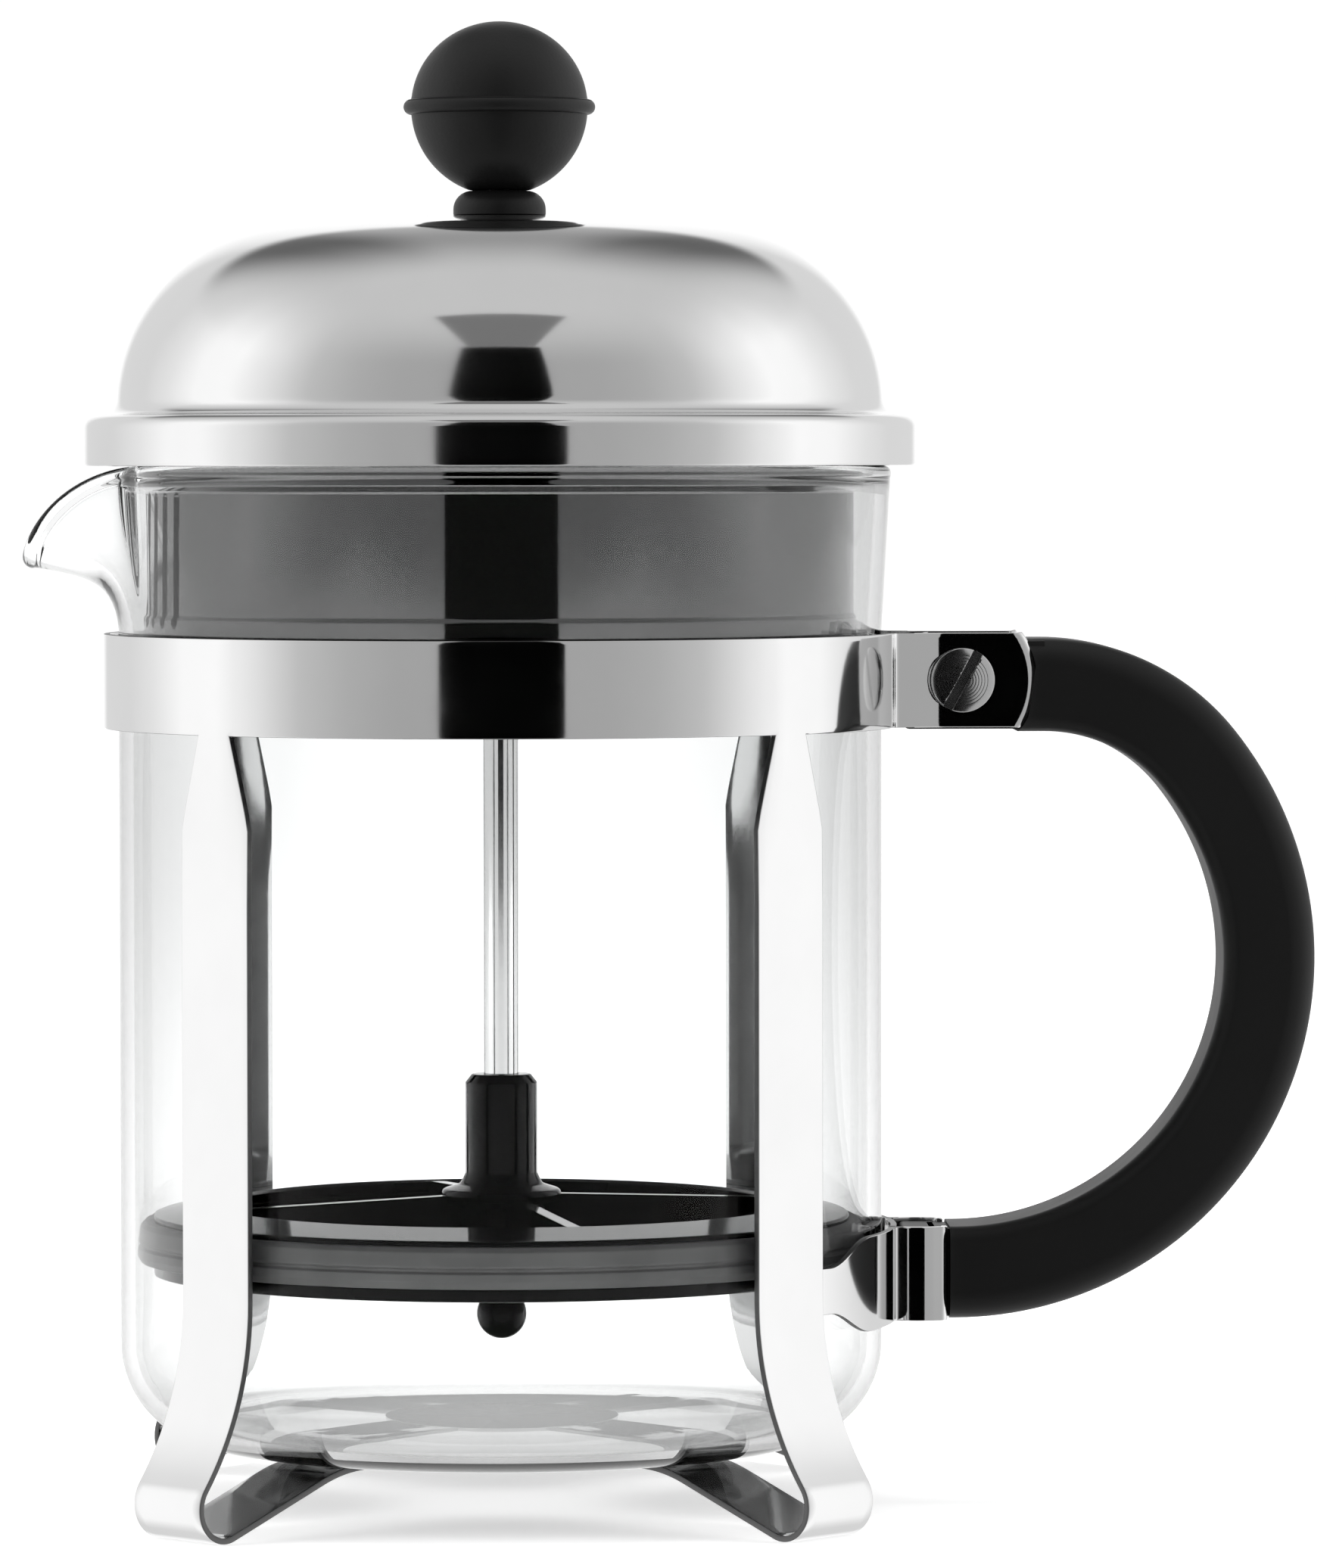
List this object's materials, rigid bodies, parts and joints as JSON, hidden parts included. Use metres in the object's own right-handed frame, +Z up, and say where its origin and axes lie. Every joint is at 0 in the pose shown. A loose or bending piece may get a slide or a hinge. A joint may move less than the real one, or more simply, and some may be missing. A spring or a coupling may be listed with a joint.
{
  "type": "french press",
  "caption": "Glass coffee press in a bright strip-steel frame, with a turning domed lid, a slotted strainer behind the spout, and a plunger that wipes the glass.",
  "frame": {"origin": "on the table, under the axis of the beaker", "axes": "+Z up along the plunger rod, +X towards the handle, -X towards the spout"},
  "size_m": [0.1538, 0.0988, 0.177],
  "materials": {
    "bright_steel": "polished",
    "satin_steel": "satin",
    "black_satin": "satin",
    "black_gloss": "gloss",
    "beaker_glass": "clear",
    "grey_seal": "matte",
    "brass_insert": "satin"
  },
  "bodies": {
    "frame": {"frame_band": "bright_steel", "leg_front_left": "bright_steel", "leg_front_right": "bright_steel", "leg_rear_left": "bright_steel", "leg_rear_right": "bright_steel", "base_plate": "bright_steel", "handle_strap": "bright_steel", "handle": "black_satin", "handle_screw": "bright_steel", "handle_nut": "bright_steel"},
    "beaker": {"beaker": "beaker_glass", "beaker_corner": "beaker_glass", "beaker_base": "beaker_glass"},
    "guide": {"lid_bush": "black_satin", "lid_clip": "bright_steel"},
    "lid": {"lid_dome": "bright_steel", "lid_skirt": "satin_steel"},
    "plunger": {"knob_cap": "black_satin", "knob_base": "black_satin", "knob_insert": "brass_insert", "plunger_rod": "satin_steel", "cross_wheel": "black_gloss", "hub_insert": "brass_insert", "filter_seal": "grey_seal", "filter_mesh": "satin_steel", "filter_plate": "black_gloss", "filter_nut": "black_gloss"}
  },
  "joints": [
    {"name": "beaker_lift", "type": "slide", "parent": "frame", "child": "beaker", "axis": [0, 0, 1], "range_m": [0, 0.11]},
    {"name": "lid_lift", "type": "slide", "parent": "beaker", "child": "guide", "axis": [0, 0, 1], "range_m": [0, 0.12]},
    {"name": "lid_turn", "type": "hinge", "parent": "guide", "child": "lid", "pos_m": [0, 0, 0.153], "axis": [0, 0, 1], "continuous": true},
    {"name": "plunger_slide", "type": "slide", "parent": "guide", "child": "plunger", "axis": [0, 0, 1], "range_m": [0, 0.064]}
  ]
}
